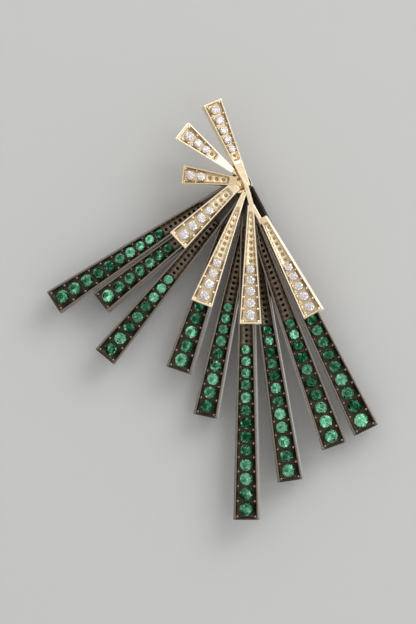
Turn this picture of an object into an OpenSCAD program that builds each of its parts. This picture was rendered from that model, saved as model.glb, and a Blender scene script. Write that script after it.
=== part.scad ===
// A sunburst drop earring. Nine long blackened bars, each set with a row of green stones, fan
// out from a hub. Seven shorter gold bars with clear stones lie over them on a hub of their own.
// A plain post behind the hub goes through the ear.
// X is to the right seen from the front, Z is up, and the front faces -Y. The origin is the
// middle of the seat that rests on the ear lobe.

/* [Blackened bars] */
// Depth of a blackened bar from face to back
dark_depth = 1.5; // [1.3:0.05:1.8]
// Width of the raised rim along a blackened bar's sides
dark_rim = 0.26; // [0.18:0.02:0.32]
// Share of a blackened bar's width that its stones take
dark_fill = 0.54; // [0.4:0.01:0.56]
// Clear space between two stones of a blackened bar
dark_gap = 0.19; // [0.1:0.01:0.25]
// Distance from the hub at which the sunk floor of a blackened bar starts
dark_plain = 4.5; // [4:0.5:8]

/* [Gold bars] */
// Depth of a gold bar from face to back
gold_depth = 1.15; // [1.0:0.05:1.4]
// Width of the raised rim along a gold bar's sides
gold_rim = 0.2; // [0.16:0.02:0.22]
// Diameter of a gold bar's stones before the share of the bar's width is added
gold_base = 0.4; // [0.34:0.02:0.42]
// Share of a gold bar's width that is added to it
gold_fill = 0.3; // [0.26:0.01:0.31]
// Clear space between two stones of a gold bar
gold_gap = 0.23; // [0.18:0.01:0.28]
// Clear height between the blackened bars and the gold bars
layer_gap = 0.9; // [0.8:0.05:1.2]

/* [Setting] */
// How far the rims stand above the floor that the stones are set in
rim_height = 0.26; // [0.15:0.01:0.35]
// Width of the rim across the end of a bar
end_rim = 0.42; // [0.3:0.02:0.6]
// Clear space between a stone and its seat
seat_play = 0.03; // [0.02:0.01:0.04]
// Radius of the grains of metal that hold the stones, as a share of the bar's width there
grain_share = 0.055; // [0.04:0.005:0.065]

/* [Ear post] */
// Diameter of the ear post
post_d = 0.9; // [0.8:0.05:1]
// Width of its square end, which is fixed through both hubs
tang_w = 1.1; // [1:0.05:1.15]
// Length of the post behind the lobe seat
post_len = 10.5; // [9:0.5:12]
// Diameter of the round seat that rests on the lobe
seat_d = 2.5; // [2.4:0.1:3]
// Height of the seat behind the blackened bars
seat_h = 0.5; // [0.3:0.1:0.8]

/* [Hidden] */
// Columns of the tables. ANGLE is the bar's direction in degrees, from +X towards +Z. ROOT and
// TIP are the distances from the hub to its two ends, and SHIFT moves it sideways. ROOT_W and
// TIP_W are the widths of the ends. ROLL turns the bar about its own length, LEAN lifts its tip
// forwards, and SINK sets it back. ROW_END is where its row of stones stops, and PANEL is where
// a gold bar's sunk floor starts. A stem has the first nine columns, because it has no stones.
ANGLE = 0;
ROOT = 1;
TIP = 2;
SHIFT = 3;
ROOT_W = 4;
TIP_W = 5;
ROLL = 6;
LEAN = 7;
SINK = 8;
ROW_END = 9;
PANEL = 10;

// Blackened bars, from the upper left round to the lower right
DARK_BARS = [
    // ANGLE, ROOT, TIP, SHIFT, ROOT_W, TIP_W, ROLL, LEAN, SINK, ROW_END
    [-147.1, 0.9, 23.6, -0.3, 1.1, 2.75, 3, 0, 0.1, 9.3],
    [-141.8, 1, 19.5, 0.6, 1.1, 2.6, 8, 0.6, 0.35, 9.6],
    [-129.6, 1, 23.4, 0.6, 1, 2.65, -3, 0, 0, 11.9],
    [-108.6, 0.9, 20.9, 0.1, 1.2, 2.8, 7, 0.6, 0.25, 13.6],
    [-102, 0.9, 25, 1.5, 1, 2.6, 3, 0, 0.4, 12.4],
    [-90, 0.8, 35.8, 0.7, 1.1, 2.75, 5, 0.4, 0.1, 17],
    [-81.4, 0.9, 32.1, 0.6, 1, 2.7, 2, 0, 0.4, 14.9],
    [-70, 0.9, 29.7, 0, 1, 2.75, -6, 0.4, 0.2, 15.4],
    [-63.9, 0.7, 29.5, 0.6, 1.2, 2.85, 3, 0, 0.35, 16.2],
];

// Gold bars, from the top round to the lower right
GOLD_BARS = [
    // ANGLE, ROOT, TIP, SHIFT, ROOT_W, TIP_W, ROLL, LEAN, SINK, ROW_END, PANEL
    [113, -0.6, 9.15, -0.87, 0.6, 2.15, 16, 2, 0, 3, 2.4],
    [141.3, 0.6, 8.25, -0.75, 0.4, 2.2, 4, 12, 0.3, 4.3, 3.7],
    [172.8, 0.2, 6.1, -0.3, 0.9, 2.05, 5, 3, 0.2, 3.5, 1.05],
    [-136.6, 0.2, 8.85, -0.1, 1.15, 2.45, 6, 2.5, 0.15, 3.7, 1.2],
    [-111, 0.5, 13.3, 0.9, 0.5, 2.4, -4, 1.8, 0.1, 8, 2.6],
    [-90, 2.2, 14.9, 1.3, 0.65, 2.4, 4, 1.5, 0, 8.5, 3],
    [-62.2, 4.3, 16, 0.62, 0.75, 2.3, 5, 2, 0.2, 9.5, 5],
];

// Plain gold stems that carry the last two gold bars from the hub
GOLD_STEMS = [
    // ANGLE, ROOT, TIP, SHIFT, ROOT_W, TIP_W, ROLL, LEAN, SINK
    [-74.6, 0.05, 2.8, 0.73, 0.45, 0.5, 0, 0, 0],
    [-62.2, 2.6, 4.9, 0.26, 0.4, 0.45, 0, 0, 0.3],
];

// Deepest setback of a blackened bar
most_sunk = max([for (bar = DARK_BARS) bar[SINK]]);

// Heights over the lobe seat of the faces of the two layers
dark_face = seat_h + dark_depth + most_sunk;
gold_face = dark_face + layer_gap + gold_depth;

// What the bars of a layer share: height of the face, depth, width of the rims, the stones'
// diameter before a share of the bar's width is added, that share, and the space between stones
FACE = 0;
DEPTH = 1;
RIM = 2;
BASE = 3;
FILL = 4;
GAP = 5;
DARK = [dark_face, dark_depth, dark_rim, 0, dark_fill, dark_gap];
GOLD = [gold_face, gold_depth, gold_rim, gold_base, gold_fill, gold_gap];

// Proportions of a round cut stone, as shares of its diameter
TABLE_D = 0.57;
CROWN_H = 0.16;
GIRDLE_H = 0.04;
PAVILION_H = 0.43;
FACETS = 8;

// Height of a stone's girdle under the top of the rims
girdle_drop = 0.1;
// Share of a stone's radius that is left open behind it
AZURE = 0.5;
// How far a grain runs into the rim beside it and into the floor
grain_sink = 0.04;

// Diameters of the two hubs, the gold one in front of the blackened one
dark_hub_d = 2.5;
gold_hub_d = 1.9;
// Clear space between the two hubs, and round the post's square end in them
hub_play = 0.05;
// Thickness of gold left in front of the post
post_cover = 0.5;
// Length of the taper at the post's free end
post_taper = 0.5;

// How far a cutter runs past the face that it cuts
past = 0.5;

$fn = 48;

DARK_ROWS = [for (i = [1:len(DARK_BARS)]) str("green_stones_", i)];
GOLD_ROWS = [for (i = [1:len(GOLD_BARS)]) str("clear_stones_", i)];

// Widening of a bar for each millimetre of its length
function taper(bar) = (bar[TIP_W] - bar[ROOT_W]) / (bar[TIP] - bar[ROOT]);

// Width of a bar at distance s from the hub
function width_at(bar, s) = bar[ROOT_W] + taper(bar) * (s - bar[ROOT]);

// Diameter of the stone whose middle is at distance s
function stone_d(bar, layer, s) = layer[BASE] + layer[FILL] * width_at(bar, s);

// Middle of the stone whose outer edge is at distance edge
function stone_at(bar, layer, edge) =
    (edge - stone_d(bar, layer, 0) / 2) / (1 + layer[FILL] * taper(bar) / 2);

// Middle of the next stone towards the hub
function next_stone(bar, layer, s) =
    stone_at(bar, layer, s - stone_d(bar, layer, s) / 2 - layer[GAP]);

// Middles of a bar's stones from its tip inwards
function row(bar, layer) =
    [for (s = stone_at(bar, layer, bar[TIP] - end_rim);
          s > bar[ROW_END];
          s = next_stone(bar, layer, s)) s];

// A bar's outline seen from the front, inset from its sides and from its outer end
module outline(bar, side, end, from) {
    to = bar[TIP] - end;
    near = width_at(bar, from) / 2 - side;
    far = width_at(bar, to) / 2 - side;
    polygon([[from, -near], [to, -far], [to, far], [from, near]]);
}

// Moves a child from a bar's own frame to its place, face up along +Z
module place(bar, layer) {
    rotate(bar[ANGLE])
        translate([0, bar[SHIFT], layer[FACE] - bar[SINK]])
            rotate([bar[ROLL], -bar[LEAN], 0])
                children();
}

// Turns a flat layout, face up, so that its face looks along -Y
module facing_front() {
    rotate([90, 0, 0]) children();
}

// The hole that a stone sits in: straight above its girdle, a cone below, open at the back
module stone_seat(d, depth) {
    open_r = AZURE * d / 2;
    top_r = d / 2 + seat_play;
    bottom = -girdle_drop - GIRDLE_H * d / 2;
    cone_h = (top_r - open_r) * 2 * PAVILION_H;
    translate([0, 0, bottom]) cylinder(r = top_r, h = past - bottom);
    translate([0, 0, bottom - cone_h]) cylinder(r1 = open_r, r2 = top_r, h = cone_h);
    translate([0, 0, -depth - past]) cylinder(r = open_r, h = depth + past + bottom);
}

// A round stone with a table, eight crown facets and eight pavilion facets
module cut_stone(d) {
    r = d / 2;
    girdle = GIRDLE_H * d / 2;
    table = [for (k = [0:FACETS - 1]) let (a = 360 * k / FACETS)
        [TABLE_D * r * cos(a), TABLE_D * r * sin(a), girdle + CROWN_H * d]];
    upper = [for (k = [0:FACETS - 1]) let (a = 360 * k / FACETS) [r * cos(a), r * sin(a), girdle]];
    lower = [for (p = upper) [p[0], p[1], -girdle]];
    culet = [[0, 0, -girdle - PAVILION_H * d]];
    ring = [for (k = [0:FACETS - 1]) k];
    turn = function(k) (k + 1) % FACETS;
    n = FACETS;
    polyhedron(
        points = concat(table, upper, lower, culet),
        faces = concat(
            [[for (k = ring) n - 1 - k]],
            [for (k = ring) [k, turn(k), n + turn(k), n + k]],
            [for (k = ring) [n + k, n + turn(k), 2 * n + turn(k), 2 * n + k]],
            [for (k = ring) [2 * n + k, 2 * n + turn(k), 3 * n]]));
}

// The grains on both sides of a row, at the outer edge of each stone
module grains(bar, layer) {
    for (s = row(bar, layer)) {
        beyond = s + (stone_d(bar, layer, s) + layer[GAP]) / 2;
        r = grain_share * width_at(bar, beyond);
        side = width_at(bar, beyond) / 2 - layer[RIM] - r + grain_sink;
        for (way = [-1, 1])
            translate([beyond, way * side, -rim_height - grain_sink]) cylinder(r = r, h = rim_height);
    }
}

// The tapered plate that a bar or a stem is made from
module plate(bar, layer) {
    translate([0, 0, -layer[DEPTH]]) linear_extrude(layer[DEPTH]) outline(bar, 0, 0, bar[ROOT]);
}

// One bar: a tapered plate with raised rims round a sunk floor, stone seats and grains
module bar_body(bar, layer, floor_from) {
    difference() {
        union() {
            difference() {
                plate(bar, layer);
                translate([0, 0, -rim_height])
                    linear_extrude(rim_height + past) outline(bar, layer[RIM], end_rim / 2, floor_from);
            }
            grains(bar, layer);
        }
        for (s = row(bar, layer))
            translate([s, 0, 0]) stone_seat(stone_d(bar, layer, s), layer[DEPTH]);
    }
}

// The stones of one bar
module bar_stones(bar, layer) {
    for (s = row(bar, layer))
        translate([s, 0, -girdle_drop]) cut_stone(stone_d(bar, layer, s));
}

// A square bar along +Z, from height from to height to
module square_bar(width, from, to) {
    translate([-width / 2, -width / 2, from]) cube([width, width, to - from]);
}

// The square hole through both hubs that holds the post's tang
module post_hole() {
    square_bar(tang_w + 2 * hub_play, -past, gold_face - post_cover);
}

module blackened_bars() {
    color("#3b312c") facing_front() difference() {
        union() {
            for (bar = DARK_BARS)
                place(bar, DARK) bar_body(bar, DARK, dark_plain);
            cylinder(d = seat_d, h = seat_h);
            cylinder(d = dark_hub_d, h = dark_face);
        }
        post_hole();
    }
}

module gold_bars() {
    back = dark_face + hub_play;
    color("#e8cf9a") facing_front() difference() {
        union() {
            for (bar = GOLD_BARS)
                place(bar, GOLD) bar_body(bar, GOLD, bar[PANEL]);
            for (stem = GOLD_STEMS)
                place(stem, GOLD) plate(stem, GOLD);
            translate([0, 0, back]) cylinder(d = gold_hub_d, h = gold_face - gold_depth / 2 - back);
        }
        post_hole();
    }
}

module ear_post() {
    color("#d9bd84") facing_front() {
        square_bar(tang_w, 0, gold_face - post_cover - hub_play);
        translate([0, 0, post_taper - post_len]) cylinder(d = post_d, h = post_len - post_taper);
        translate([0, 0, -post_len]) cylinder(d1 = post_d / 2, d2 = post_d, h = post_taper);
    }
}

module green_stones(bar) {
    color("#0f7a4c") facing_front() place(bar, DARK) bar_stones(bar, DARK);
}

module clear_stones(bar) {
    color("#f3f3f6") facing_front() place(bar, GOLD) bar_stones(bar, GOLD);
}

blackened_bars();
gold_bars();
ear_post();
for (i = [0:len(DARK_BARS) - 1])
    green_stones(DARK_BARS[i]);
for (i = [0:len(GOLD_BARS) - 1])
    clear_stones(GOLD_BARS[i]);
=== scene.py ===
"""Looks of a sunburst drop earring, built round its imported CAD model.

Nine blackened bars with green stones fan out from a hub, seven shorter gold bars with clear
stones lie over them, and a plain post goes back through the ear. A bar is worked out in a frame
of its own, in millimetres: s runs outwards from the hub, t across the bar and z up from the top
of its rims. Its place turns that into the earring's frame, and a mesh is written in metres.
"""

import logging
import math
from dataclasses import dataclass, field
from enum import Enum

import bmesh
import bpy
import numpy as np
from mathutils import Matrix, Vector


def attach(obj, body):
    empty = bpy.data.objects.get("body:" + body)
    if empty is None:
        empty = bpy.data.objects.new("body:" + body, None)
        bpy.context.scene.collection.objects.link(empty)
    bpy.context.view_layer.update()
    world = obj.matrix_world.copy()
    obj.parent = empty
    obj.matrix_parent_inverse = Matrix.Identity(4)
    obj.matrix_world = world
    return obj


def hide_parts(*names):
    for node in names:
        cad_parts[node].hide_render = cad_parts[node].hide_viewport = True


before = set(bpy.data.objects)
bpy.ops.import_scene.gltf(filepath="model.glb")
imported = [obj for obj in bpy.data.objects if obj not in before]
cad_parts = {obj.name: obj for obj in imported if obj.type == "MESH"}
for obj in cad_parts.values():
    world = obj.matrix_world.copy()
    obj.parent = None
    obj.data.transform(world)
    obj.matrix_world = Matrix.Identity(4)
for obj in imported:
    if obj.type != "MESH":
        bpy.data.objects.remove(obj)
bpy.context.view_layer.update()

LOG = logging.getLogger("earring")
MM = 0.001
BODY = "root"

# Points closer than this are one point of a mesh, in metres
WELD = 3e-7

# Attributes that the finishes read: a point's place in its bar, its state and the tone of a
# stone's facet. The state holds, from 0 to 1 as the numbers of a vector, how rubbed the point
# is, which also paints highlights, how sunk, and how much painted shade it takes
PLACE = "bar_place"
STATE = "rubbed_lit_sunk_shaded"
TONE = "facet_tone"

# Segments of a floor cell across the bar, along a stone's cell and along a pit's
CELL_ACROSS = 6
SEAT_ALONG = 6
PIT_ALONG = 3

# Points round a grain, a hub and the post
GRAIN_POINTS = 8
HUB_POINTS = 64
POST_POINTS = 40

# Mirrorings that are followed, because light crosses a stone many times before it leaves
GLOSSY_BOUNCES = 10


class Outline(Enum):
    """Cross-section of a turned or squared piece, by the exponent of its superellipse."""

    ROUND = 2.0
    SQUARE = 14.0


@dataclass(frozen=True)
class Bar:
    """One tapered bar: where it lies and how it widens, in millimetres and degrees.

    angle is its direction from +X towards +Z. root and tip are the distances from the hub to its
    ends, and shift moves it sideways. roll turns it about its own length, lean lifts its tip
    forwards, and sink sets it back. row_end is where its row of stones stops, and panel where
    its sunk floor starts; a stem has neither. lit lists the stones, counted from the tip, that
    catch the light. The last pair is how much painted shade its metal takes, at the root and
    from the floor on.
    """

    angle: float
    root: float
    tip: float
    shift: float
    root_w: float
    tip_w: float
    roll: float
    lean: float
    sink: float
    row_end: float | None = None
    panel: float = 4.5
    lit: tuple[int, ...] = ()
    painted_shade: tuple[float, float] = (0.0, 0.0)

    def taper(self) -> float:
        """Widening for each millimetre of length."""
        return (self.tip_w - self.root_w) / (self.tip - self.root)

    def width_at(self, s: float | np.ndarray) -> float | np.ndarray:
        """Width at distance s from the hub."""
        return self.root_w + self.taper() * (s - self.root)

    def painted_shade_at(self, s: np.ndarray) -> np.ndarray:
        """How much painted shade its metal takes at distance s: it changes where the panel starts.
        """
        return np.interp(s, (self.panel - 1, self.panel + 2), self.painted_shade)


@dataclass(frozen=True)
class Layer:
    """What the bars of one layer share, in millimetres.

    face is the height of their faces over the lobe seat. A stone's diameter is base plus fill
    times the bar's width, and gap is the clear space between two stones. bright_cut is the width
    of the slanted cut inside the rims, and edge the radius of the polished edges. Inwards of the
    stones the floor has drilled pits, pit_pitch apart and pit_r in radius. grain_share is the
    radius of the grains between the stones, as a share of the bar's width.
    """

    face: float
    depth: float
    rim: float
    base: float
    fill: float
    gap: float
    bright_cut: float
    edge: float
    pit_pitch: float
    pit_r: float
    grain_share: float
    rim_height: float = 0.26
    end_rim: float = 0.42
    seat_play: float = 0.03
    girdle_drop: float = 0.1
    azure: float = 0.5

    def radius(self, bar: Bar, s: float | np.ndarray) -> float | np.ndarray:
        """Radius of the stone whose middle is at distance s."""
        return (self.base + self.fill * bar.width_at(s)) / 2

    def stones(self, bar: Bar) -> tuple[np.ndarray, np.ndarray]:
        """Middles and radii of a bar's stones, from its tip inwards.

        A stone whose outer edge is at distance e has its middle at
        (e - radius at 0) / (1 + fill taper / 2), because its radius grows with the distance.

        Args:
            bar: the bar that they are set in.

        Returns:
            The distances of the middles from the hub, and the radii.
        """
        middles = []
        edge = bar.tip - self.end_rim
        while True:
            s = (edge - self.radius(bar, 0.0)) / (1 + self.fill * bar.taper() / 2)
            if s <= bar.row_end:
                break
            middles.append(s)
            edge = s - self.radius(bar, s) - self.gap
        found = np.array(middles)
        return found, self.radius(bar, found)


DARK = Layer(
    face=2.4, depth=1.5, rim=0.26, base=0.0, fill=0.54, gap=0.19,
    bright_cut=0.12, edge=0.07, pit_pitch=0.6, pit_r=0.17, grain_share=0.085,
)
GOLD = Layer(
    face=4.45, depth=1.15, rim=0.2, base=0.4, fill=0.3, gap=0.23,
    bright_cut=0.08, edge=0.06, pit_pitch=0.68, pit_r=0.2, grain_share=0.1,
)

# Columns: angle, root, tip, shift, root_w, tip_w, roll, lean, sink, row_end
DARK_BARS = [
    Bar(-147.1, 0.9, 23.6, -0.3, 1.1, 2.75, 3, 0, 0.1, 9.3, lit=(6, 8)),
    Bar(-141.8, 1, 19.5, 0.6, 1.1, 2.6, 8, 0.6, 0.35, 9.6, lit=(0,)),
    Bar(-129.6, 1, 23.4, 0.6, 1, 2.65, -3, 0, 0, 11.9, lit=(1, 5, 6)),
    Bar(-108.6, 0.9, 20.9, 0.1, 1.2, 2.8, 7, 0.6, 0.25, 13.6, lit=(0, 2)),
    Bar(-102, 0.9, 25, 1.5, 1, 2.6, 3, 0, 0.4, 12.4, lit=(2,)),
    Bar(-90, 0.8, 35.8, 0.7, 1.1, 2.75, 5, 0.4, 0.1, 17, lit=(3, 8)),
    Bar(-81.4, 0.9, 32.1, 0.6, 1, 2.7, 2, 0, 0.4, 14.9, lit=(3, 4)),
    Bar(-70, 0.9, 29.7, 0, 1, 2.75, -6, 0.4, 0.2, 15.4, lit=(0, 1)),
    # The last bar's root takes painted shade, a dark wedge beside the gold bars
    Bar(-63.9, 0.7, 29.5, 0.6, 1.2, 2.85, 3, 0, 0.35, 16.2, lit=(0, 3), painted_shade=(0.85, 0)),
]
# Columns: the same, then panel
GOLD_BARS = [
    # The first, third and last bars take painted shade: the first from its floor on, the third all
    # over, the last at its root
    Bar(113, -0.6, 9.15, -0.87, 0.6, 2.15, 16, 2, 0, 3, 2.4, painted_shade=(0, 0.25)),
    Bar(141.3, 1.3, 8.25, -0.75, 0.55, 2.2, 4, 12, 0.3, 4.3, 3.7),
    Bar(172.8, 0.2, 6.1, -0.3, 0.9, 2.05, 5, 3, 0.2, 3.5, 1.05, painted_shade=(0.45, 0.45)),
    Bar(-136.6, 0.2, 8.85, -0.1, 1.15, 2.45, 6, 2.5, 0.15, 3.7, 1.2),
    Bar(-111, 0.5, 13.3, 0.9, 0.5, 2.4, -4, 1.8, 0.1, 8, 2.6),
    Bar(-90, 2.2, 14.9, 1.3, 0.65, 2.4, 4, 1.5, 0, 8.5, 3),
    Bar(-62.2, 4.3, 16, 0.62, 0.75, 2.3, 5, 2, 0.2, 9.5, 5, painted_shade=(0.4, 0)),
]
# The last one is the low neck of the second bar, whose face stops short of the hub; it takes
# full painted shade, as it lies in shade under the other bars
GOLD_STEMS = [
    Bar(-74.6, 0.05, 2.8, 0.73, 0.45, 0.5, 0, 0, 0),
    Bar(-62.2, 2.6, 4.9, 0.26, 0.4, 0.45, 0, 0, 0.3),
    Bar(141.3, 0.6, 1.8, -0.75, 0.4, 0.5, 4, 12, 0.9, painted_shade=(1, 1)),
]


def turn(axis: str, degrees: float) -> np.ndarray:
    """Rotation matrix about one axis.

    Args:
        axis: "x", "y" or "z".
        degrees: the angle, by the right-hand rule.

    Returns:
        A 3 by 3 matrix.
    """
    c, s = math.cos(math.radians(degrees)), math.sin(math.radians(degrees))
    first, second = {"x": (1, 2), "y": (2, 0), "z": (0, 1)}[axis]
    made = np.eye(3)
    made[first, first] = made[second, second] = c
    made[second, first] = s
    made[first, second] = -s
    return made


def place(points: np.ndarray, bar: Bar, layer: Layer) -> np.ndarray:
    """Moves points from a bar's own frame to the earring's.

    The bar is rolled about its length, its tip is leant forwards, it is lifted to its layer, and
    it is turned to its direction. The layout, face up, is then turned to face the front.

    Args:
        points: an array whose last axis is (s, t, z), in millimetres.
        bar: the bar.
        layer: its layer.

    Returns:
        An array of the same shape, in millimetres.
    """
    tilted = points @ (turn("y", -bar.lean) @ turn("x", bar.roll)).T
    lifted = tilted + np.array([0.0, bar.shift, layer.face - bar.sink])
    return lifted @ (turn("x", 90) @ turn("z", bar.angle)).T


@dataclass
class Surface:
    """Points and faces of a mesh in the making, in millimetres, with its attributes."""

    points: list[np.ndarray] = field(default_factory=list)
    faces: list[np.ndarray] = field(default_factory=list)
    marks: dict[str, list[np.ndarray]] = field(default_factory=dict)
    tones: list[np.ndarray] = field(default_factory=list)
    count: int = 0

    def add_grids(self, points: np.ndarray, closed: bool = False, **marks: np.ndarray) -> None:
        """Adds grids of quads.

        Args:
            points: (grids, rows, columns, 3) points.
            closed: whether the last column joins the first.
            **marks: one array a name, of the same shape as points.
        """
        grids, rows, columns = points.shape[:3]
        index = np.arange(grids * rows * columns).reshape(grids, rows, columns) + self.count
        if closed:
            index = np.concatenate([index, index[:, :, :1]], axis=2)
        corners = [index[:, :-1, :-1], index[:, 1:, :-1], index[:, 1:, 1:], index[:, :-1, 1:]]
        self.faces.append(np.stack(corners, axis=-1).reshape(-1, 4))
        self.points.append(points.reshape(-1, 3))
        for name, values in marks.items():
            self.marks.setdefault(name, []).append(values.reshape(-1, 3))
        self.count += grids * rows * columns

    def build(self, name: str, material: bpy.types.Material, smooth: bool) -> bpy.types.Object:
        """Makes the Blender object: doubles merged, faces turned outwards, at the origin.

        Args:
            name: the piece's name.
            material: its finish.
            smooth: whether its faces are shaded smooth.

        Returns:
            The object, linked to the scene.
        """
        points = np.concatenate(self.points) * MM
        faces = [face for block in self.faces for face in block.tolist()]
        mesh = bpy.data.meshes.new(name)
        mesh.from_pydata(points.tolist(), [], faces)
        for mark, blocks in self.marks.items():
            values = np.concatenate(blocks).astype(np.float32).ravel()
            mesh.attributes.new(mark, "FLOAT_VECTOR", "POINT").data.foreach_set("vector", values)
        if self.tones:
            values = np.concatenate(self.tones).astype(np.float32)
            mesh.attributes.new(TONE, "FLOAT", "FACE").data.foreach_set("value", values)
        welded = bmesh.new()
        welded.from_mesh(mesh)
        bmesh.ops.remove_doubles(welded, verts=welded.verts, dist=WELD)
        bmesh.ops.recalc_face_normals(welded, faces=welded.faces)
        welded.to_mesh(mesh)
        welded.free()
        mesh.polygons.foreach_set("use_smooth", np.full(len(mesh.polygons), smooth))
        mesh.materials.append(material)
        piece = bpy.data.objects.new(name, mesh)
        bpy.context.scene.collection.objects.link(piece)
        return piece


def stacked(*columns: float | np.ndarray) -> np.ndarray:
    """Joins numbers and arrays of one shape along a new last axis."""
    return np.stack(np.broadcast_arrays(*columns), axis=-1)


@dataclass
class BarShell:
    """The closed metal surface of one bar: rims, bright cut, floor, stone seats and edges.

    Its points have five numbers: s, t, z, how rubbed the metal is there, from 0 to 1, which also
    paints highlights, and how sunk, from 0 to 1, and on to 2 where it takes painted shade as well.
    """

    bar: Bar
    layer: Layer

    # Steps round an edge's quarter turn, longest step along a bar, length of the floor's ramp
    arc_steps: int = 3
    stride: float = 0.5
    ramp: float = 0.2

    # Shares of half the width: the least that the floor keeps, and the most that an edge takes
    least_floor: float = 0.3
    most_edge: float = 0.3

    # How much of its room a seat's outer circle fills, and how much of the floor a pit takes
    seat_fill: float = 0.94
    pit_fill: float = 0.62

    # How close to the edges the wall's outer points are, how far inside the edges the caps at the
    # root and the tip start, and how far from its tip a stem's two runs of sections meet
    hold: float = 0.06
    cap_inset: tuple[float, float] = (0.04, 0.05)
    stem_ends: tuple[float, float] = (0.3, 0.25)

    # Least distance between two runs of sections, and length of the floor beside its ramp
    spare: float = 0.02
    ledge: float = 0.05

    # The floor's climb to the end rim: distances past the step, and shares of the floor's depth
    climb: tuple[tuple, ...] = ((-0.09, 1.0), (-0.05, 0.5), (-0.015, 0.06), (0.01, 0.0))

    # Grains: how deep their feet are under the floor, how much more than the rims' height the big
    # ones rise from there, and the small ones' largest radius and share of the rims' height
    grain_foot: float = 0.03
    grain_extra: float = 0.02
    small_grain: float = 0.1
    small_rise: float = 0.7

    def border_at(self, s: float | np.ndarray) -> np.ndarray:
        """Half the floor's width at distance s: inside rim and bright cut, and never nothing."""
        half = self.bar.width_at(s) / 2
        return np.maximum(half - self.layer.rim - self.layer.bright_cut, self.least_floor * half)

    def side(self, s: np.ndarray, sunk: np.ndarray) -> np.ndarray:
        """Half a section, from the floor over the rim and down the outside to the back.

        The bright cut climbs from the floor's border to the rim in two slopes. The outer edges
        are quarter circles, and the wall between them has a point close to each to stay flat.

        Args:
            s: (rows,) distances from the hub.
            sunk: (rows,) depths of the floor under the rims.

        Returns:
            A (rows, points, 4) array of t, z, rubbed share, which also paints highlights, and sunk
            share, which past 1 paints shade.
        """
        half = self.bar.width_at(s) / 2
        border = self.border_at(s)
        rim = np.maximum(half - self.layer.rim, (border + half) / 2)
        edge = np.minimum(self.layer.edge, self.most_edge * half)
        lip = 0.25 * (rim - border)
        low = sunk / self.layer.rim_height
        depth = self.layer.depth
        arc = np.linspace(0, math.pi / 2, self.arc_steps + 1)
        turns = [(edge * (1 - math.sin(a)), edge * (1 - math.cos(a))) for a in arc]

        # The bright cut, the rim, the upper edge, the wall, the lower edge and the back. The third
        # number is how rubbed, which also paints highlights on the rim and upper edge, and a fourth
        # number past 1 paints shade into the floor's corner and low on the outer wall
        rows = [
            (border, -sunk, 0.0, 1.6 * low),
            (border + 1.6 * lip, -0.52 * sunk, 0.0, 1.1 * low),
            (rim - 0.9 * lip, -0.16 * sunk, 0.4, 0.2 * low),
            (rim - 0.2 * lip, -0.02 * sunk, 1.0, 0.0),
            (rim + 0.5 * lip, 0.0, 0.5, 0.0),
            *[(half - before, -after, 1.0, 0.0) for before, after in turns],
            (half, -edge - self.hold, 0.0, 0.8),
            (half, edge + self.hold - depth, 0.0, 1.5),
            *[(half - after, before - depth, 0.5, 0.0) for before, after in turns],
            (border, -depth, 0.0, 0.0),
        ]
        return np.stack([stacked(*[value + 0 * s for value in row]) for row in rows], axis=1)

    def loops(self, s: np.ndarray, sunk: np.ndarray, inset: np.ndarray) -> np.ndarray:
        """Closed sections, each from the back over the left side, floor and right side and back.

        A section that is inset is drawn in by that much all round: t is scaled by
        (half - inset) / half, and z likewise about the middle of the depth.

        Args:
            s: (rows,) distances from the hub.
            sunk: (rows,) depths of the floor.
            inset: (rows,) how far each section is drawn in.

        Returns:
            (rows, points, 5) points of the bar's frame.
        """
        right = self.side(s, sunk)
        left = right[:, ::-1] * [-1, 1, 1, 1]
        across = np.linspace(-1, 1, CELL_ACROSS + 1)[1:-1]
        flat_t = self.border_at(s)[:, None] * across
        deep = sunk[:, None] + 0 * flat_t
        floor = stacked(flat_t, -deep, 0.0, deep / self.layer.rim_height)
        back = stacked(flat_t[:, ::-1], -self.layer.depth, 0.0, 0.0)
        around = np.concatenate([left, floor, right, back], axis=1)
        half = (self.bar.width_at(s) / 2)[:, None]
        mid = self.layer.depth / 2
        drawn = inset[:, None]
        t = around[..., 0] * (half - drawn) / half
        z = (around[..., 1] + mid) * (mid - drawn) / mid - mid
        return stacked(s[:, None] + 0 * t, t, z, around[..., 2], around[..., 3])

    def cap(self, loop: np.ndarray) -> np.ndarray:
        """Two rows that close a section: its upper half, and its lower half in the same order.

        Args:
            loop: (points, 5) points of the section.

        Returns:
            A (2, points / 2, 5) array.
        """
        middle = self.side(np.zeros(1), np.zeros(1)).shape[1] // 2
        rolled = np.roll(loop, -middle, axis=0)
        half = len(rolled) // 2
        return np.stack([rolled[:half], rolled[half:][::-1]])

    def stone_bounds(self) -> np.ndarray:
        """Ends of the stones' cells, halfway between two stones and as far past the outer ones.

        Returns:
            (stones + 1,) distances from the hub, from the innermost outwards.
        """
        middles, radii = self.layer.stones(self.bar)
        inner = middles - radii - self.layer.gap / 2
        return np.append(inner[::-1], middles[0] + radii[0] + self.layer.gap / 2)

    def pit_bounds(self) -> np.ndarray:
        """Ends of the pits' cells, which share out the floor between its ramp and the stones.

        Returns:
            (pits + 1,) distances from the hub, from the innermost outwards.
        """
        low = self.bar.panel + self.ramp + self.ledge
        high = self.stone_bounds()[0]
        count = max(0, round((high - low) / self.layer.pit_pitch))
        return np.linspace(high if count == 0 else low, high, count + 1)

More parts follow.
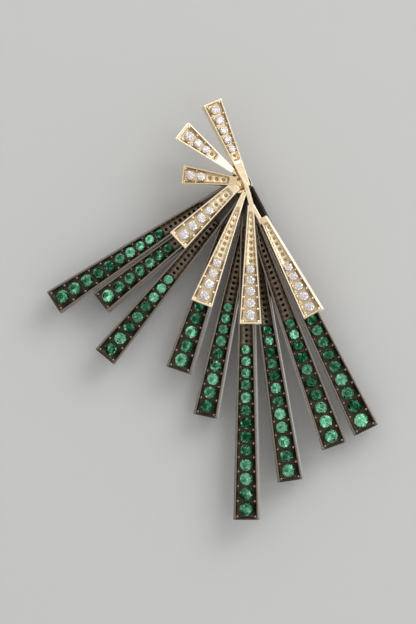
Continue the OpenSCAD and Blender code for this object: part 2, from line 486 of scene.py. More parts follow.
    def washers(self, bounds: np.ndarray, along: int, rings: list[tuple]) -> np.ndarray:
        """Rings of points in each cell of the floor, from the cell's sides inwards.

        A ring's points lie on a circle round the cell's middle, at the angles at which the
        points of the cell's four sides are seen from it. A share of 1 puts a ring on the sides
        and 0 on the circle.

        Args:
            bounds: (cells + 1,) ends of the cells.
            along: segments along a cell.
            rings: for each ring its (middle, radius), share, z, rubbed and sunk, where arrays
                are (cells, 1).

        Returns:
            (cells, rings, points, 5) points of the bar's frame.
        """
        low, high = bounds[:-1, None], bounds[1:, None]
        steps = np.linspace(0, 1, along + 1)[:-1]
        across = np.linspace(-1, 1, CELL_ACROSS + 1)[:-1]
        up, down = low + (high - low) * steps, high + (low - high) * steps
        sides_s = np.concatenate([up, high + 0 * across, down, low + 0 * across], axis=1)
        sides_t = [
            -self.border_at(up),
            self.border_at(high) * across,
            self.border_at(down),
            -self.border_at(low) * across,
        ]
        sides_t = np.concatenate(sides_t, axis=1)
        made = []
        for (middle, radius), share, z, rubbed_and_lit, sunk in rings:
            angle = np.arctan2(sides_t, sides_s - middle)
            s = share * sides_s + (1 - share) * (middle + radius * np.cos(angle))
            t = share * sides_t + (1 - share) * radius * np.sin(angle)
            made.append(stacked(s, t, z + 0 * s, rubbed_and_lit, sunk))
        return np.stack(made, axis=1)

    def seats(self) -> np.ndarray:
        """Metal round each stone: from the floor down its conical seat and out of the back.

        The seat runs beside the stone's pavilion as a cone, then goes on as a straight hole with
        a flare at the back. Its mouth is where the cone comes up to the floor, and its waist
        where it meets the hole.

        Returns:
            (stones, rings, points, 5) points of the bar's frame.
        """
        middles, radii = (values[::-1, None] for values in self.layer.stones(self.bar))
        depth, floor, cut = self.layer.depth, self.layer.rim_height, StoneCut()
        hole = self.layer.azure * radii
        girdle = self.layer.girdle_drop + cut.girdle * radii
        room = self.seat_fill * np.minimum(self.border_at(middles), radii + self.layer.gap / 2)
        top = radii + self.layer.seat_play
        mouth = np.clip(top - (floor - girdle) / cut.pavilion, hole, room - 0.06)
        waist = np.maximum(girdle + (top - hole) * cut.pavilion, floor + 0.05)

        # Over the mouth's softened edge, down the cone and the hole, and out at its flare. Past 1,
        # the last number paints shade round the stone and down its seat
        rings = [
            ((middles, room), 1.0, -floor, 0.0, 1.6),
            ((middles, np.minimum(mouth + 0.1, room)), 0.0, -floor, 0.0, 1.8),
            ((middles, mouth + 0.03), 0.0, -floor - 0.003, 0.0, 1.8),
            ((middles, mouth), 0.0, -floor - 0.03, 0.0, 1.9),
            ((middles, hole), 0.0, -waist, 0.0, 1.9),
            ((middles, hole), 0.0, -waist - 0.04, 0.0, 1.9),
            ((middles, hole), 0.0, 0.16 - depth, 0.0, 0.6),
            ((middles, hole + 0.05), 0.0, 0.03 - depth, 0.3, 0.0),
            ((middles, hole + 0.09), 0.0, -depth, 0.0, 0.0),
            ((middles, room), 1.0, -depth, 0.0, 0.0),
        ]
        return self.washers(self.stone_bounds(), SEAT_ALONG, rings)

    def pits(self) -> np.ndarray:
        """Blind pits that go on from the row of stones: a rounded mouth and a drilled cone.

        Returns:
            (pits, rings, points, 5) points of the bar's frame.
        """
        bounds = self.pit_bounds()
        middles = ((bounds[:-1] + bounds[1:]) / 2)[:, None]
        floor = self.layer.rim_height
        r = np.minimum(self.layer.pit_r, self.pit_fill * self.border_at(middles))
        # Past 1, the last number paints shade down the pit
        rings = [
            ((middles, r), 1.0, -floor, 0.0, 1.0),
            ((middles, 1.3 * r), 0.0, -floor + 0.02, 0.5, 0.5),
            ((middles, r), 0.0, -floor - 0.02, 0.2, 1.0),
            ((middles, 0.7 * r), 0.0, -floor - 0.8 * r, 0.0, 1.9),
            ((middles, 0 * r), 0.0, -floor - 1.2 * r, 0.0, 2.0),
        ]
        return self.washers(bounds, PIT_ALONG, rings)

    def grains(self, s: np.ndarray, r: np.ndarray, height: float) -> np.ndarray:
        """Domed grains of metal in pairs against the two rims, raised from the floor.

        Each is a closed surface: its radius falls and its height rises along a quarter of a
        superellipse, from a sunk foot to the top.

        Args:
            s: (pairs,) distances from the hub.
            r: (pairs,) radii.
            height: how high they stand.

        Returns:
            (grains, rings, points, 5) points of the bar's frame.
        """
        offset = self.bar.width_at(s) / 2 - self.layer.rim - 0.7 * r
        s, r = np.tile(s, 2)[:, None, None], np.tile(r, 2)[:, None, None]
        offset = np.concatenate([-offset, offset])[:, None, None]
        lift = (np.array([0.0, 0.0, 0.4, 0.75, 1.0]) * math.pi / 2)[:, None]
        reach = np.cos(lift) ** 0.8
        reach[[0, -1]] = 0.0
        z = np.sin(lift) * height - self.layer.rim_height - self.grain_foot
        theta = 2 * math.pi * np.arange(GRAIN_POINTS) / GRAIN_POINTS
        s, t = s + r * reach * np.cos(theta), offset + r * reach * np.sin(theta)
        # Grains are fully rubbed, so their pale worn tone partly paints a highlight on each
        return stacked(s, t, z + 0 * theta, 1.0, 0.0)

    def plain_run(self, to: float) -> tuple[np.ndarray, np.ndarray]:
        """Sections from the root outwards, where quarter circles round the root's edges.

        Args:
            to: the distance from the hub that they stay short of.

        Returns:
            Their distances from the hub, and how far each is drawn in.
        """
        edge = min(self.layer.edge, self.most_edge * self.bar.root_w / 2)
        arc = np.linspace(math.pi / 2, 0, self.arc_steps + 1)
        first = self.bar.root + edge * (1 - np.sin(arc))
        rest = np.arange(self.bar.root + 2 * edge, to - self.spare, self.stride)
        s = np.concatenate([first[:1], first, rest])
        inset = np.concatenate([[edge + self.cap_inset[0]], edge * (1 - np.cos(arc)), 0 * rest])
        return s, inset

    def end_run(self, low: float, floor: bool) -> tuple[np.ndarray, np.ndarray, np.ndarray]:
        """Sections out to the tip, where a sunk floor climbs to the end rim and edges are round.

        Args:
            low: the first one's distance from the hub.
            floor: whether there is a sunk floor.

        Returns:
            Their distances from the hub, their depths of floor, and how far each is drawn in.
        """
        edge = min(self.layer.edge, self.most_edge * self.bar.tip_w / 2)
        tip, step = self.bar.tip, self.bar.tip - self.layer.end_rim / 2
        sweep = np.linspace(0, math.pi / 2, self.arc_steps + 1)
        past, share = np.transpose(self.climb)
        ramp = np.append(low, step + past) if floor else np.array([low])
        s = np.concatenate([ramp, tip - edge * (1 - np.sin(sweep)), [tip]])
        drawn = edge * (1 - np.cos(sweep))
        inset = np.concatenate([0 * ramp, drawn, [edge + self.cap_inset[1]]])
        sunk = np.zeros_like(s)
        if floor:
            sunk[: len(ramp)] = self.layer.rim_height * np.append(1.0, share)
        return s, sunk, inset

    def add_to(self, surface: Surface) -> None:
        """Adds the whole bar to a surface, in the earring's frame.

        Args:
            surface: the surface of the sub-assembly.
        """
        if self.bar.row_end is None:
            self._add_stem(surface)
            return
        layer, panel = self.layer, self.bar.panel
        pits, stones = self.pit_bounds(), self.stone_bounds()

        s, inset = self.plain_run(panel)
        ramp = min(self.ramp, pits[0] - panel - self.spare)
        slope = panel + ramp * np.array([0.0, 0.2, 0.5, 0.8, 1.0])
        flat = np.arange(panel + ramp + self.stride, pits[0] - self.ledge, self.stride)
        run = np.append(flat, pits[0])
        s = np.concatenate([s, slope, run])
        inset = np.append(inset, np.zeros(len(slope) + len(run)))
        sunk = layer.rim_height * np.clip((s - panel) / ramp, 0, 1)
        first = self.loops(s, sunk, inset)
        last = self.loops(*self.end_run(stones[-1], floor=True))
        self._add_tube(surface, first, (0,))
        self._add_tube(surface, last, (-1,))

        cells = [np.linspace(a, b, PIT_ALONG + 1)[:-1] for a, b in zip(pits[:-1], pits[1:])]
        cells += [np.linspace(a, b, SEAT_ALONG + 1)[:-1] for a, b in zip(stones[:-1], stones[1:])]
        rows = np.append(np.concatenate(cells), stones[-1])
        rim = self.side(rows, np.full_like(rows, layer.rim_height))
        t, z, rubbed_and_lit, low = np.moveaxis(rim, -1, 0)
        for way in (-1, 1):
            strip = stacked(rows[:, None], way * t, z, rubbed_and_lit, low)
            self._add(surface, strip[None], closed=False)
        self._add(surface, self.seats(), closed=True)
        middles, radii = layer.stones(self.bar)
        between = middles + radii + layer.gap / 2
        big = layer.grain_share * self.bar.width_at(between)
        rise = layer.rim_height + self.grain_extra
        self._add(surface, self.grains(between, big, rise), closed=True)
        if len(pits) > 1:
            self._add(surface, self.pits(), closed=True)
            rows = np.append(np.concatenate(cells[: len(pits) - 1]), pits[-1])
            across = self.border_at(rows)[:, None] * np.linspace(-1, 1, CELL_ACROSS + 1)
            back = stacked(rows[:, None], across, -layer.depth, 0.0, 0.0)
            self._add(surface, back[None], closed=False)
            small = np.minimum(self.small_grain, 0.5 * self.border_at(pits))
            rise = self.small_rise * layer.rim_height
            self._add(surface, self.grains(pits, small, rise), closed=True)

    def _add_stem(self, surface: Surface) -> None:
        """Adds a plain bar: one tube with a cap at each end.

        Args:
            surface: the surface of the sub-assembly.
        """
        stop, start = self.stem_ends
        s, inset = self.plain_run(self.bar.tip - stop)
        more, sunk, more_inset = self.end_run(self.bar.tip - start, floor=False)
        sunk = np.append(0 * s, sunk)
        tube = self.loops(np.append(s, more), sunk, np.append(inset, more_inset))
        self._add_tube(surface, tube, (0, -1))

    def _add_tube(self, surface: Surface, tube: np.ndarray, ends: tuple[int, ...]) -> None:
        """Adds closed sections to a surface, and caps over some of them.

        Args:
            surface: the surface of the sub-assembly.
            tube: (rows, points, 5) points of the sections.
            ends: which sections get a cap.
        """
        self._add(surface, tube[None], closed=True)
        for end in ends:
            self._add(surface, self.cap(tube[end])[None], closed=False)

    def _add(self, surface: Surface, local: np.ndarray, closed: bool) -> None:
        """Adds grids to a surface, put in place, with their marks.

        Args:
            surface: the surface of the sub-assembly.
            local: (grids, rows, points, 5) points of the bar's frame.
            closed: whether a row's last point joins its first.
        """
        where, sunk = local[..., :3], local[..., 4]
        # Painted shade: the larger of the sunk share past 1 and the bar's own share
        painted_shade_share = np.maximum(sunk - 1, self.bar.painted_shade_at(where[..., 0]))
        state = stacked(local[..., 3], np.minimum(sunk, 1), painted_shade_share)
        marks = {PLACE: where, STATE: state}
        surface.add_grids(place(where, self.bar, self.layer), closed, **marks)


def turned(profile: list[tuple[float, Outline, float]], points: int) -> np.ndarray:
    """A closed ring surface: a profile of half-widths and heights carried round an axis.

    At each angle a the outline's radius is h / (|cos a|^n + |sin a|^n)^(1/n), where h is the
    half-width and n the outline's exponent: 2 gives a circle and 14 a square.

    Args:
        profile: half-width, outline and height of each ring, the height from the back forwards.
        points: points round a ring.

    Returns:
        (1, rings, points, 3) points, face up.
    """
    half = np.array([row[0] for row in profile])[:, None]
    power = np.array([row[1].value for row in profile])[:, None]
    height = np.array([row[2] for row in profile])[:, None]
    angle = 2 * math.pi * (np.arange(points) + 0.5) / points
    reach = (np.abs(np.cos(angle)) ** power + np.abs(np.sin(angle)) ** power) ** (-1 / power)
    return stacked(half * reach * np.cos(angle), half * reach * np.sin(angle), height)[None]


def add_turned(surface: Surface, rings: np.ndarray) -> None:
    """Adds a turned surface, brought from face up to facing the front."""
    surface.add_grids(rings @ turn("x", 90).T, closed=True, **{PLACE: rings, STATE: 0 * rings})


@dataclass
class Hub:
    """A round hub with rounded edges and a square hole for the post."""

    radius: float
    back: float
    front: float
    edge: float
    hole: float = 0.6
    arc_points: int = 5

    def add_to(self, surface: Surface) -> None:
        """Adds the hub: its outer wall and, as a ring, the square hole through it.

        Args:
            surface: the surface of the sub-assembly.
        """
        angles = np.linspace(0, math.pi / 2, self.arc_points)
        inner, edge = self.radius - self.edge, self.edge
        turns = [(math.sin(a), math.cos(a)) for a in angles]
        lower = [(inner + edge * s, Outline.ROUND, self.back + edge * (1 - c)) for s, c in turns]
        upper = [(inner + edge * c, Outline.ROUND, self.front - edge * (1 - s)) for s, c in turns]
        hole_back = (self.hole, Outline.SQUARE, self.back)
        hole_front = (self.hole, Outline.SQUARE, self.front)
        profile = [hole_back, *lower, *upper, hole_front, hole_back]
        add_turned(surface, turned(profile, HUB_POINTS))


@dataclass
class StoneCut:
    """A round brilliant of radius 1: table, stars, kites, halves, girdle and pavilion.

    Its kites and mains are flat: the height of a star's tip is that of the kite's plane there,
    and so is the height of the lower halves' tips on the pavilion mains.
    """

    table: float = 0.57
    crown: float = 0.32
    girdle: float = 0.04
    pavilion: float = 0.86
    star: float = 0.8
    lower: float = 0.28

    def points(self) -> np.ndarray:
        """Corners of the cut, ring by ring from the table down to the culet.

        Returns:
            (57, 3) points: table, star tips, two girdle rings of 16, lower tips and culet.
        """
        mains = math.pi / 4 * np.arange(8)
        between = mains + math.pi / 8
        full = math.pi / 8 * np.arange(16)
        tilt = math.cos(math.pi / 8)
        star_z = self.girdle + self.crown * (1 - self.star * tilt) / (1 - self.table)
        lower_z = -self.girdle - self.pavilion * (1 - self.lower * tilt)
        rings = [
            (mains, self.table, self.girdle + self.crown),
            (between, self.star, star_z),
            (full, 1.0, self.girdle),
            (full, 1.0, -self.girdle),
            (between, self.lower, lower_z),
        ]
        made = [stacked(r * np.cos(a), r * np.sin(a), z) for a, r, z in rings]
        return np.concatenate([*made, [[0.0, 0.0, -self.girdle - self.pavilion]]])

    def faces(self) -> list[np.ndarray]:
        """Facets of the cut, as indices of its points.

        Returns:
            The table, the triangles and the four-sided facets, an array each.
        """
        k = np.arange(8)
        following, before = (k + 1) % 8, (k - 1) % 8
        table, star, top, bottom, lower, culet = 0, 8, 16, 32, 48, 56
        main, half, next_main = 2 * k, 2 * k + 1, (2 * k + 2) % 16
        ring = np.arange(16)
        ring_next = (ring + 1) % 16
        triangles = [
            stacked(table + k, star + k, table + following),
            stacked(star + k, top + main, top + half),
            stacked(star + k, top + half, top + next_main),
            stacked(lower + k, bottom + half, bottom + main),
            stacked(lower + k, bottom + next_main, bottom + half),
        ]
        quads = [
            stacked(table + k, star + before, top + main, star + k),
            stacked(top + ring, bottom + ring, bottom + ring_next, top + ring_next),
            stacked(culet, lower + k, bottom + main, lower + before),
        ]
        return [k[None], np.concatenate(triangles), np.concatenate(quads)]


def hex_colour(code: str) -> tuple[float, float, float, float]:
    """Linear RGBA of an sRGB hex colour.

    Args:
        code: six hex digits after a hash.

    Returns:
        Linear red, green and blue, and an alpha of 1.
    """
    channels = [int(code[i : i + 2], 16) / 255 for i in (1, 3, 5)]
    linear = [c / 12.92 if c <= 0.04045 else ((c + 0.055) / 1.055) ** 2.4 for c in channels]
    return (*linear, 1.0)


def add_node(
    tree: bpy.types.NodeTree,
    kind: str,
    settings: dict[str | int, object] | None = None,
    links: dict[str | int, bpy.types.NodeSocket] | None = None,
) -> bpy.types.Node:
    """Adds a node with its settings and links.

    Args:
        tree: the node tree.
        kind: the node's type.
        settings: values of its properties by name, or of its inputs by name or number.
        links: sockets that its inputs are linked from, by the input's name or number.

    Returns:
        The new node.
    """
    node = tree.nodes.new(kind)
    for name, value in (settings or {}).items():
        if isinstance(name, str) and hasattr(node, name):
            setattr(node, name, value)
        else:
            node.inputs[name].default_value = value
    for name, source in (links or {}).items():
        tree.links.new(source, node.inputs[name])
    return node


def new_material(name: str) -> tuple[bpy.types.Material, bpy.types.NodeTree]:
    """Makes an empty node material.

    Args:
        name: its name.

    Returns:
        The material and its node tree.
    """
    material = bpy.data.materials.new(name)
    material.use_nodes = True
    material.node_tree.nodes.clear()
    return material, material.node_tree


# Numbers of a colour Mix node's inputs, and of its output
MIX_A, MIX_B, MIX_OUT = 6, 7, 2


@dataclass(frozen=True)
class PolishedMetal:
    """A polished and worn metal surface, such as plated or bare gold.

    colour and shade are the two tones that the surface wanders between. The worn tone is what the
    rubbed edges show, partly real wear and partly a painted highlight on rims, edges and grains.
    The floor tone is the duller tone of the sunk floors, and on blackened metal it is a painted
    reflection of the gold in front. The painted shade tone darkens corners, seats, pits and the
    bars that lie in shade. The polishing leaves fine lines along a bar, and the last buffing
    leaves soft dents about dent_mm across. Real lines are some 0.01 mm apart, too fine to show,
    so they are drawn line_mm apart, and drawn out along the bar by 1 / line_squash.

    The worn tone's share is how much of it a rubbed edge takes, wear and painted highlight
    together. The roughness wanders by spread to either side, and is recess_roughness on the
    floors. relief_mm is how high lines and dents stand at a bump of 1.
    """

    name: str
    colour: str
    shade: str
    worn_highlight: str
    floor_tone_and_reflection: str
    painted_shade: str
    worn_highlight_share: float
    roughness: float
    spread: float
    recess_roughness: float
    line_mm: float = 0.06
    line_squash: float = 0.08
    dent_mm: float = 0.45
    relief_mm: float = 0.012
    bump: float = 0.35

    def material(self) -> bpy.types.Material:
        """Builds the material.

        Returns:
            A material that reads the piece's own coordinates and the state of its surface.
        """
        material, tree = new_material(self.name)
        where = add_node(tree, "ShaderNodeAttribute", {"attribute_name": PLACE}).outputs["Vector"]
        state = add_node(tree, "ShaderNodeAttribute", {"attribute_name": STATE}).outputs["Vector"]
        split = add_node(tree, "ShaderNodeSeparateXYZ", {}, {0: state})
        rubbed_and_lit, sunk, painted_shade_share = split.outputs
        squash = {"Scale": (self.line_squash, 1.0, 1.0)}
        along = add_node(tree, "ShaderNodeMapping", squash, {"Vector": where})
        fine = {"Scale": 1 / self.line_mm, "Detail": 2.0, "Roughness": 0.6}
        lines = add_node(tree, "ShaderNodeTexNoise", fine, {"Vector": along.outputs[0]}).outputs[0]
        soft = {"Scale": 1 / self.dent_mm, "Detail": 3.0}
        dents = add_node(tree, "ShaderNodeTexNoise", soft, {"Vector": where}).outputs[0]

        middling = {"From Min": 0.35, "From Max": 0.65}
        spots = add_node(tree, "ShaderNodeMapRange", middling, {"Value": dents}).outputs[0]
        polished = self._mix(tree, spots, hex_colour(self.colour), hex_colour(self.shade))
        # The floor tone, on blackened metal a painted reflection of the gold in front; then the
        # worn tone, partly a painted highlight; then the painted shade
        floor_mixed = self._mix(tree, sunk, polished, hex_colour(self.floor_tone_and_reflection))
        part = {"operation": "MULTIPLY", 1: self.worn_highlight_share}
        worn_highlight = add_node(tree, "ShaderNodeMath", part, {0: rubbed_and_lit}).outputs[0]
        bright = self._mix(tree, worn_highlight, floor_mixed, hex_colour(self.worn_highlight))
        colour = self._mix(tree, painted_shade_share, bright, hex_colour(self.painted_shade))

        ends = {"To Min": self.roughness - self.spread, "To Max": self.roughness + self.spread}
        rough = add_node(tree, "ShaderNodeMapRange", ends, {"Value": lines}).outputs[0]
        more = {"operation": "MULTIPLY_ADD", 1: self.recess_roughness - self.roughness}
        roughness = add_node(tree, "ShaderNodeMath", more, {0: sunk, 2: rough})
        height = add_node(tree, "ShaderNodeMath", {"operation": "ADD"}, {0: lines, 1: dents})
        relief = {"Strength": self.bump, "Distance": self.relief_mm * MM}
        bump = add_node(tree, "ShaderNodeBump", relief, {"Height": height.outputs[0]})
        shader = add_node(
            tree,
            "ShaderNodeBsdfPrincipled",
            {"Metallic": 1.0},
            {"Base Color": colour, "Roughness": roughness.outputs[0], "Normal": bump.outputs[0]},
        )
        add_node(tree, "ShaderNodeOutputMaterial", {}, {"Surface": shader.outputs[0]})
        return material

    def _mix(
        self,
        tree: bpy.types.NodeTree,
        share: bpy.types.NodeSocket,
        first: bpy.types.NodeSocket | tuple,
        second: tuple,
    ) -> bpy.types.NodeSocket:
        """Blends two colours by a share.

        Args:
            tree: the node tree.
            share: how much of the second one shows, from 0 to 1.
            first: the first colour, given or linked.
            second: the second colour.

        Returns:
            The blend's socket.
        """
        settings, links = {"data_type": "RGBA", MIX_B: second}, {"Factor": share}
        (settings if isinstance(first, tuple) else links)[MIX_A] = first
        return add_node(tree, "ShaderNodeMix", settings, links).outputs[MIX_OUT]


@dataclass(frozen=True)
class CutStone:
    """A clear cut stone, whose tone wanders from facet to facet and from stone to stone.

    A facet's tone runs from deep to colour, and sheen tints what the facets mirror.
    """

    name: str
    colour: str
    deep: str
    sheen: str
    ior: float

    def material(self) -> bpy.types.Material:
        """Builds the material.

        Returns:
            A clear material whose colour follows the facets' own tone.
        """
        material, tree = new_material(self.name)
        tone = add_node(tree, "ShaderNodeAttribute", {"attribute_name": TONE}).outputs["Fac"]
        ends = {"data_type": "RGBA", MIX_A: hex_colour(self.deep), MIX_B: hex_colour(self.colour)}
        mix = add_node(tree, "ShaderNodeMix", ends, {"Factor": tone})
        shader = add_node(
            tree,
            "ShaderNodeBsdfPrincipled",
            {
                "Roughness": 0.0,
                "IOR": self.ior,
                "Transmission Weight": 1.0,
                "Specular Tint": hex_colour(self.sheen),
            },
            {"Base Color": mix.outputs[MIX_OUT]},
        )
        add_node(tree, "ShaderNodeOutputMaterial", {}, {"Surface": shader.outputs[0]})
        return material


# Black rhodium over gold: a warm near-black mirror, rubbed greyer and paler along its edges,
# where this also paints highlights. Its floors are painted brown, a painted reflection of the
# gold bars in front, and its painted shade is near black
BLACKENED_GOLD = PolishedMetal(
    name="black_rhodium_gold",
    colour="#44413a",
    shade="#35322c",
    worn_highlight="#9a8f84",
    floor_tone_and_reflection="#645545",
    painted_shade="#1c1813",
    worn_highlight_share=0.7,
    roughness=0.24,
    spread=0.08,
    recess_roughness=0.4,
)

# Pale yellow gold, machine polished: cream in the light and tan to olive where it turns away,
# with duller tan floors that the polishing brush didn't reach. Its paler worn tone also paints
# highlights on rims and grains, and its tan painted shade darkens corners, seats and shaded bars
PALE_GOLD = PolishedMetal(
    name="pale_yellow_gold",
    colour="#f2dfc2",
    shade="#e8cfa6",
    worn_highlight="#faf0dc",
    floor_tone_and_reflection="#efdfc0",
    painted_shade="#bda072",
    worn_highlight_share=0.6,
    roughness=0.18,
    spread=0.06,
    recess_roughness=0.34,
)

# The post is drawn wire of the same gold, a little yellower and turned smooth
POST_GOLD = PolishedMetal(
    name="drawn_gold_wire",
    colour="#efdcb8",
    shade="#e6cda2",
    worn_highlight="#f0dfbf",
    floor_tone_and_reflection="#e6cda2",
    painted_shade="#c9a566",
    worn_highlight_share=0.0,
    roughness=0.18,
    spread=0.04,
    recess_roughness=0.18,
)

# Emerald: a deep bluish green with mint glints, nearly black where it looks down to its seat.
# What it mirrors is tinted too, or the white tent would wash such small facets out
GREEN_STONE = CutStone(name="emerald", colour="#9cf4c6", deep="#01240f", sheen="#3cc48a", ior=1.58)

# Diamond: colourless, its facets white, grey and faintly lilac
CLEAR_STONE = CutStone(name="diamond", colour="#fffdfb", deep="#d9cfd1", sheen="#ffffff", ior=2.42)


def dress(piece: bpy.types.Object, node: str) -> None:
    """Puts a finished piece on the frame and reports it.

    Args:
        piece: the piece.
        node: the CAD node that it stands for.
    """
    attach(piece, BODY)
    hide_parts(node)
    triangles = sum(len(face.vertices) - 2 for face in piece.data.polygons)
    LOG.info("%s: %d triangles, for %s", piece.name, triangles, node)


@dataclass
class StoneRows:
    """The rows of loose stones of one layer, one piece a bar."""

    bars: list[Bar]
    layer: Layer
    prefix: str
    slot: str
    finish: CutStone
    seed: int

    # Largest tilt of a stone in its seat, in degrees
    tilt: float = 6.0

    # Tones: how far the stones' are apart and the facets', that of a lit stone, and the powers
    # that even random numbers are raised to for a stone and for a facet
    stone_spread: float = 0.2
    facet_spread: float = 1.6
    lit_tone: float = 0.35
    stone_power: int = 2
    facet_power: int = 6
    cut: StoneCut = field(default_factory=StoneCut)

    def build(self) -> None:
        """Builds and dresses every row."""
        material = self.finish.material()
        random = np.random.default_rng(self.seed)
        for number, bar in enumerate(self.bars, 1):
            node = f"{self.prefix}_{number}"
            row = self.row(bar, random).build(f"cut_{node}", material, smooth=False)
            dress(row, node)

    def row(self, bar: Bar, random: np.random.Generator) -> Surface:
        """One bar's stones, each turned about its axis and tilted a little.

        A stone's points are the cut's, scaled by its radius, turned by a random angle about z,
        then tilted: z gains a small random share of x and of y. A facet's tone is its stone's
        tone plus a random part of its own. Both are powers of even random numbers, so that most
        are deep and a few are bright.

        Args:
            bar: the bar.
            random: the source of the small turns and of the tones.

        Returns:
            The surface of the row.
        """
        middles, radii = self.layer.stones(bar)
        count = len(middles)
        cut = self.cut.points()
        spin = random.uniform(0, math.pi / 4, (count, 1))
        lean = np.radians(self.tilt) * random.uniform(-1, 1, (count, 2))
        tone = self.stone_spread * random.uniform(0, 1, count) ** self.stone_power
        tone[list(bar.lit)] = self.lit_tone
        x = cut[:, 0] * np.cos(spin) - cut[:, 1] * np.sin(spin)
        y = cut[:, 0] * np.sin(spin) + cut[:, 1] * np.cos(spin)
        local = stacked(x, y, cut[:, 2] + x * lean[:, :1] + y * lean[:, 1:])
        local = local * radii[:, None, None]
        local = local + stacked(middles, 0.0, -self.layer.girdle_drop)[:, None]
        surface = Surface()
        surface.points.append(place(local, bar, self.layer).reshape(-1, 3))
        first = len(cut) * np.arange(count)[:, None, None]
        for faces in self.cut.faces():
            surface.faces.append((faces + first).reshape(-1, faces.shape[1]))
            own = random.uniform(0, 1, (count, len(faces))) ** self.facet_power
            bright = tone[:, None] + own * self.facet_spread
            surface.tones.append(np.clip(bright, 0, 1).ravel())
        return surface


@dataclass
class BlackenedFan:
    """The nine blackened bars with their hub, whose back is the seat that rests on the lobe."""

    layer: Layer = DARK
    hub: Hub = field(default_factory=lambda: Hub(radius=1.25, back=0.0, front=2.4, edge=0.1))

    def build(self) -> None:
        """Builds and dresses the fan and its stones."""
        surface = Surface()
        for bar in DARK_BARS:
            BarShell(bar, self.layer).add_to(surface)
        self.hub.add_to(surface)
        fan = surface.build("blackened_fan", BLACKENED_GOLD.material(), smooth=True)
        dress(fan, "blackened_bars")
        StoneRows(DARK_BARS, self.layer, "green_stones", "green_stone", GREEN_STONE, seed=4).build()


@dataclass
class GoldSpray:
    """The seven gold bars, on a smaller hub with two plain stems, in front of the fan."""

    layer: Layer = GOLD
    hub: Hub = field(default_factory=lambda: Hub(radius=0.95, back=2.45, front=3.875, edge=0.06))

    def build(self) -> None:
        """Builds and dresses the spray and its stones."""
        surface = Surface()
        for bar in (*GOLD_BARS, *GOLD_STEMS):
            BarShell(bar, self.layer).add_to(surface)
        self.hub.add_to(surface)
        spray = surface.build("gold_spray", PALE_GOLD.material(), smooth=True)
        dress(spray, "gold_bars")
        StoneRows(GOLD_BARS, self.layer, "clear_stones", "clear_stone", CLEAR_STONE, seed=9).build()


@dataclass
class EarPost:
    """The plain post: a square end through both hubs, a solder fillet and a tapered wire."""

    radius: float = 0.45
    tang: float = 0.55
    tang_top: float = 3.9
    length: float = 10.5
    taper: float = 0.5
    fillet: float = 0.16
    fillet_points: int = 6

    def build(self) -> None:
        """Builds and dresses the post."""
        r, fillet, end = self.radius, self.fillet, -self.length
        bend = np.linspace(0, math.pi / 2, self.fillet_points)
        square = [(0.0, self.tang_top), (self.tang, self.tang_top), (self.tang, 0.0)]

        # The fillet, the straight wire, the start of its taper and its blunt end
        wire = [(r + fillet * (1 - math.sin(a)), -fillet * (1 - math.cos(a)) - 0.002) for a in bend]
        wire += [(r, -1.0), (r, end + self.taper + 0.05), (0.97 * r, end + self.taper - 0.04)]
        wire += [(0.55 * r, end + 0.06), (0.4 * r, end), (0.0, end)]
        rings = [(half, Outline.SQUARE, z) for half, z in square]
        rings += [(half, Outline.ROUND, z) for half, z in wire]
        surface = Surface()
        add_turned(surface, turned(rings, POST_POINTS))
        post = surface.build("post", POST_GOLD.material(), smooth=True)
        dress(post, "ear_post")


@dataclass(frozen=True)
class SoftBox:
    """A rectangular light aimed at the earring: place and sizes in millimetres, power in watts."""

    name: str
    at: tuple[float, float, float]
    width: float
    height: float
    power: float


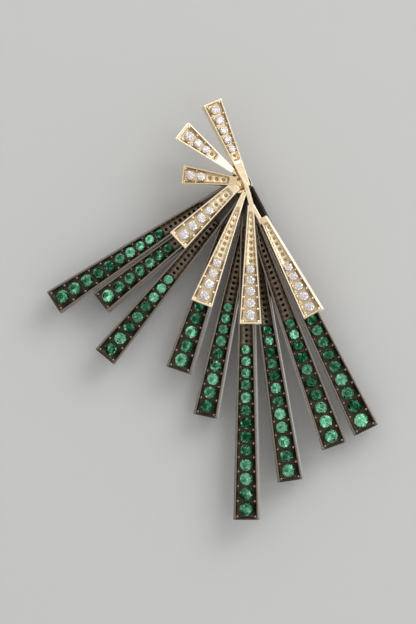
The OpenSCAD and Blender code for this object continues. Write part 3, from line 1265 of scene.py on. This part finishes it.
@dataclass
class Studio:
    """Backing board, floor, soft lights and camera, which aren't part of the earring."""

    board_y: float = 1.3
    board_half: float = 450.0
    floor_z: float = -150.0
    floor_half: float = 3000.0
    grey: str = "#cccccb"
    room_grey: str = "#d2d2cf"
    room_light: float = 0.5
    middle: tuple[float, float, float] = (-3.4, -2.0, -13.6)

    # The camera's place and what it takes in, its sensor, its clipping distances in metres, and
    # the photo's pixels
    camera_turn: float = 3.7
    distance: float = 520.0
    frame_width: float = 44.5
    sensor: float = 36.0
    clip: tuple[float, float] = (0.01, 20.0)
    photo: tuple[int, int] = (416, 624)

    # One wide diffuser in front gives nearly all the light, as a light tent does, so the gaps
    # between the bars are dark and the shadows hug them. The key gives them a side, the small
    # card low on the right is what the second gold bar mirrors, and the rear box lights the backs
    boxes: tuple[SoftBox, ...] = (
        SoftBox("tent", (260, -700, 260), 2600, 2600, 14.6),
        SoftBox("key", (420, -520, 430), 420, 420, 1.8),
        SoftBox("card", (300, -690, -130), 240, 240, 0.3),
        SoftBox("rear", (250, 850, 150), 1800, 1800, 12.0),
    )

    def build(self) -> None:
        """Builds the whole studio."""
        h, y = self.board_half, self.board_y
        corners = [(-h, y, -h), (h, y, -h), (h, y, h), (-h, y, h)]
        board = self.sheet("backing_board", corners, one_sided=True)

        # It only catches shadows: it hides no light from the backs, and isn't mirrored in them
        board.visible_shadow = False
        board.visible_diffuse = False
        board.visible_glossy = False
        f, z = self.floor_half, self.floor_z
        self.sheet("floor", [(-f, -f, z), (f, -f, z), (f, f, z), (-f, f, z)], one_sided=False)
        world = bpy.data.worlds.new("room")
        bpy.context.scene.world = world
        world.use_nodes = True
        room = world.node_tree.nodes["Background"]
        room.inputs["Color"].default_value = hex_colour(self.room_grey)
        room.inputs["Strength"].default_value = self.room_light
        for box in self.boxes:
            self.light(box)
        self.camera()

    def sheet(self, name: str, corners: list[tuple], one_sided: bool) -> bpy.types.Object:
        """A flat pale sheet of the stage.

        Args:
            name: its name.
            corners: its corners in millimetres, in order.
            one_sided: whether it can be seen through from behind.

        Returns:
            The object.
        """
        material, tree = new_material(name)
        shader = add_node(tree, "ShaderNodeBsdfDiffuse", {"Color": hex_colour(self.grey)})
        if one_sided:
            back = add_node(tree, "ShaderNodeNewGeometry").outputs["Backfacing"]
            clear = add_node(tree, "ShaderNodeBsdfTransparent").outputs[0]
            sides = {0: back, 1: shader.outputs[0], 2: clear}
            shader = add_node(tree, "ShaderNodeMixShader", {}, sides)
        add_node(tree, "ShaderNodeOutputMaterial", {}, {"Surface": shader.outputs[0]})
        mesh = bpy.data.meshes.new(name)
        mesh.from_pydata([tuple(MM * c for c in corner) for corner in corners], [], [(0, 1, 2, 3)])
        mesh.materials.append(material)
        sheet = bpy.data.objects.new(name, mesh)
        bpy.context.scene.collection.objects.link(sheet)
        return sheet

    def light(self, box: SoftBox) -> None:
        """Adds a soft box, aimed at the earring's middle and unseen by the camera.

        Args:
            box: its place, sizes and power.
        """
        data = bpy.data.lights.new(box.name, "AREA")
        data.shape = "RECTANGLE"
        data.size, data.size_y = box.width * MM, box.height * MM
        data.energy = box.power
        light = bpy.data.objects.new(box.name, data)
        light.location = [MM * c for c in box.at]
        aim = Vector(MM * c for c in self.middle) - light.location
        light.rotation_euler = aim.to_track_quat("-Z", "Y").to_euler()
        light.visible_camera = False
        bpy.context.scene.collection.objects.link(light)

    def camera(self) -> None:
        """A long lens level with the earring's middle, a little to its right."""
        data = bpy.data.cameras.new("camera")
        wide, tall = self.photo
        data.sensor_width = self.sensor
        data.lens = data.sensor_width * self.distance / (self.frame_width * tall / wide)
        data.clip_start, data.clip_end = self.clip
        camera = bpy.data.objects.new("camera", data)
        side = math.radians(self.camera_turn)
        away = Vector((math.sin(side), -math.cos(side), 0.0)) * self.distance * MM
        camera.location = Vector(MM * c for c in self.middle) + away
        camera.rotation_euler = (-away).to_track_quat("-Z", "Y").to_euler()
        bpy.context.scene.collection.objects.link(camera)
        bpy.context.scene.camera = camera


def main() -> None:
    """Builds the studio and every sub-assembly."""
    logging.basicConfig(level=logging.INFO, format="%(name)s %(message)s")
    scene = bpy.context.scene
    scene.view_settings.view_transform = "Standard"
    scene.cycles.glossy_bounces = GLOSSY_BOUNCES
    Studio().build()
    BlackenedFan().build()
    GoldSpray().build()
    EarPost().build()
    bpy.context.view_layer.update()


if __name__ == "__main__":
    main()
